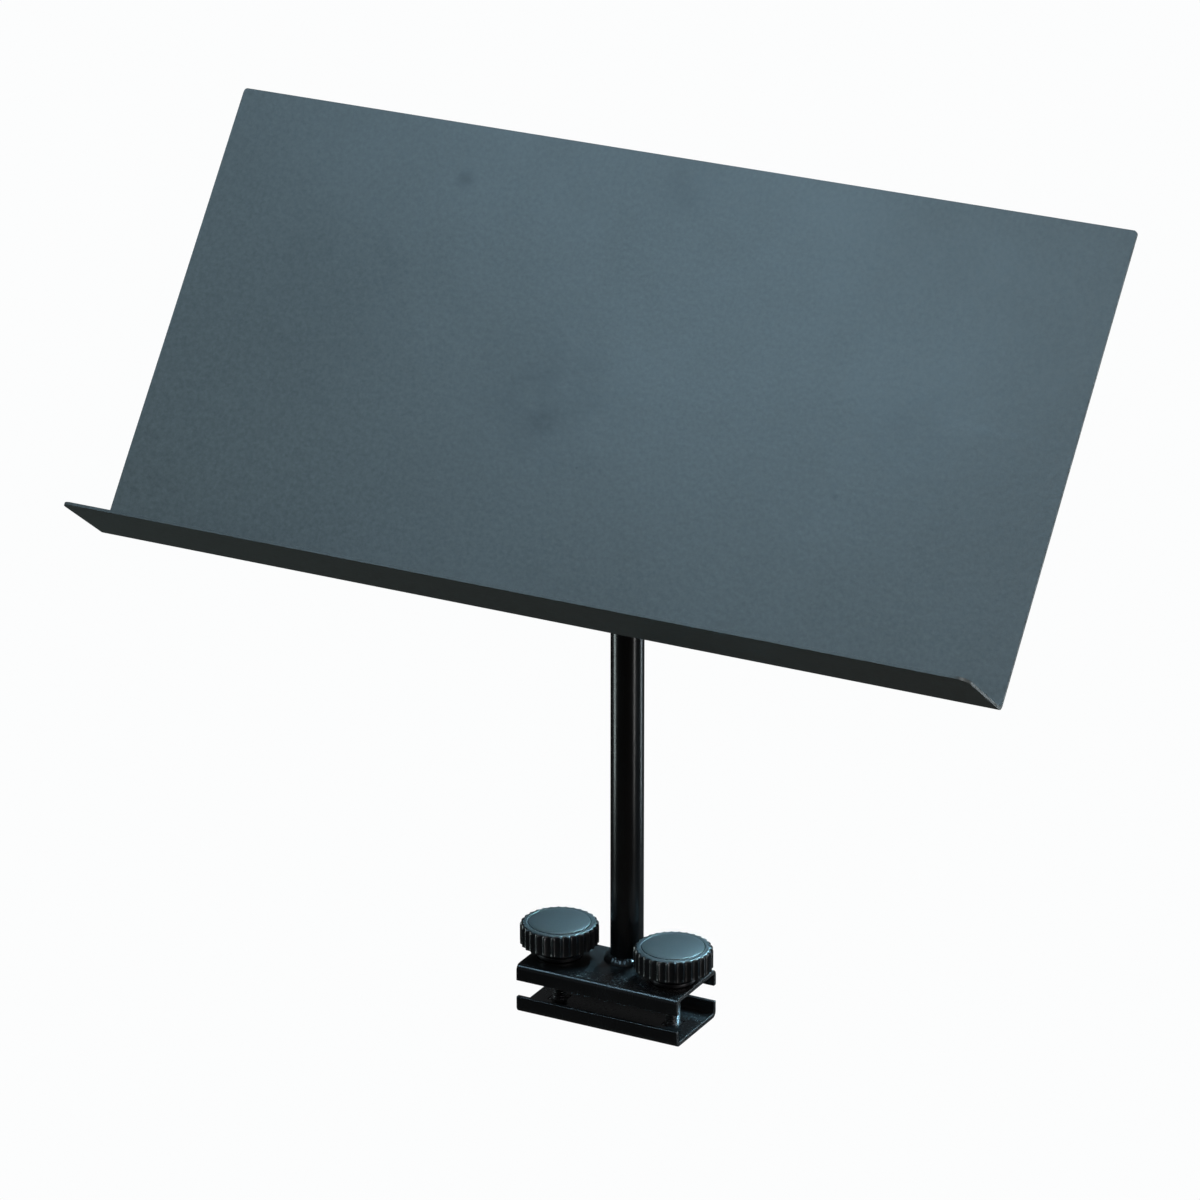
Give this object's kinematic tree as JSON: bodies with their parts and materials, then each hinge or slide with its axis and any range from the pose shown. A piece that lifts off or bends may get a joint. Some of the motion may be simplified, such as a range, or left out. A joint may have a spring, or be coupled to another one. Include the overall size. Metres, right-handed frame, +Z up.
{
  "type": "music stand",
  "caption": "Folded sheet-metal music desk on a short tubular post, tilting on a bracket and gripping a tube with a two-jaw knob clamp.",
  "frame": {"origin": "midway between the clamp bolts, level with the upper jaw's gripping edges", "axes": "+X to the reader's right, +Y away from the reader, +Z up along the post"},
  "size_m": [0.5, 0.1874, 0.4493],
  "materials": {
    "desk_paint": "satin blue-grey powder coat",
    "black_paint": "gloss black enamel",
    "knob_plastic": "semi-gloss moulded black",
    "black_zinc": "black zinc plated steel",
    "insert_brass": "turned",
    "fibre": "pressed fibre, matt"
  },
  "bodies": {
    "clamp_and_post": {"upper_jaw": "black_paint", "post_tube": "black_paint", "post_weld": "black_paint", "tilt_head": "black_zinc", "head_pin": "black_zinc", "clamp_washer_left": "black_zinc", "clamp_washer_right": "black_zinc"},
    "desk": {"music_desk": "desk_paint", "desk_bracket": "black_paint", "bracket_weld_left": "black_paint", "bracket_weld_right": "black_paint", "tilt_bolt": "black_zinc", "friction_washer_left": "fibre", "friction_washer_right": "fibre"},
    "backed_off_washer": {"tilt_washer": "black_zinc"},
    "tilt_knob": {"tilt_knob": "knob_plastic", "tilt_knob_insert": "insert_brass"},
    "left_knob": {"clamp_knob_left": "knob_plastic", "knob_insert_left": "insert_brass"},
    "right_knob": {"clamp_knob_right": "knob_plastic", "knob_insert_right": "insert_brass"},
    "lower_clamp": {"lower_jaw": "black_paint", "clamp_bolt_left": "black_zinc", "clamp_bolt_right": "black_zinc"}
  },
  "joints": [
    {"name": "desk_tilt", "type": "hinge", "parent": "clamp_and_post", "child": "desk", "pos_m": [0, 0.012, 0.3116], "axis": [1, 0, 0], "range_deg": [-50, 30]},
    {"name": "tilt_knob_backoff", "type": "slide", "parent": "desk", "child": "backed_off_washer", "axis": [1, 0, 0], "range_m": [0, 0.00125]},
    {"name": "tilt_knob_spin", "type": "hinge", "parent": "backed_off_washer", "child": "tilt_knob", "pos_m": [0, 0.012, 0.3116], "axis": [1, 0, 0], "range_deg": [0, 360]},
    {"name": "left_knob_spin", "type": "hinge", "parent": "clamp_and_post", "child": "left_knob", "pos_m": [-0.033, 0, 0.02], "axis": [0, 0, 1], "range_deg": [-288, 2016]},
    {"name": "right_knob_spin", "type": "hinge", "parent": "clamp_and_post", "child": "right_knob", "pos_m": [0.033, 0, 0.02], "axis": [0, 0, 1], "range_deg": [-288, 2016]},
    {"name": "jaw_slide", "type": "slide", "parent": "clamp_and_post", "child": "lower_clamp", "axis": [0, 0, 1], "range_m": [-0.007, 0.001]}
  ],
  "couplings": [
    {"joint": "tilt_knob_spin", "follows": "tilt_knob_backoff", "rad_per_m": 5026.5},
    {"joint": "left_knob_spin", "follows": "jaw_slide", "rad_per_m": -5026.5},
    {"joint": "right_knob_spin", "follows": "jaw_slide", "rad_per_m": -5026.5}
  ]
}
